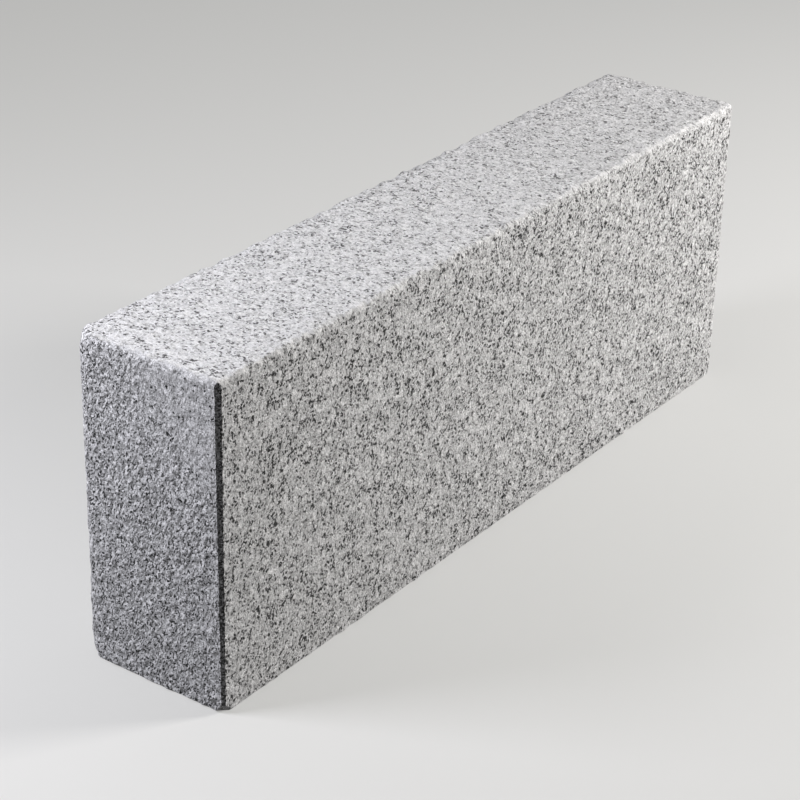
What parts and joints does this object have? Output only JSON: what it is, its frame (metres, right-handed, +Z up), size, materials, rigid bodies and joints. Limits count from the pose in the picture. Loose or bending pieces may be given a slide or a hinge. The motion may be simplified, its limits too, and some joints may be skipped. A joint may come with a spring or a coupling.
{
  "type": "granite kerb stone",
  "caption": "Straight granite kerb stone: a sawn block of pale grey granite with dressed faces, rounded arrises and a sawn upright arris, laid on its bed to edge a road.",
  "frame": {"origin": "middle of the bed, on the surface that the stone lies on", "axes": "+X along the kerb line from the near end to the far end, +Y from the road face to the back, +Z up from the bed to the top"},
  "size_m": [0.8, 0.15, 0.3],
  "materials": {
    "granite": "matte"
  },
  "bodies": {
    "root": {"kerb_stone": "granite"}
  },
  "joints": []
}
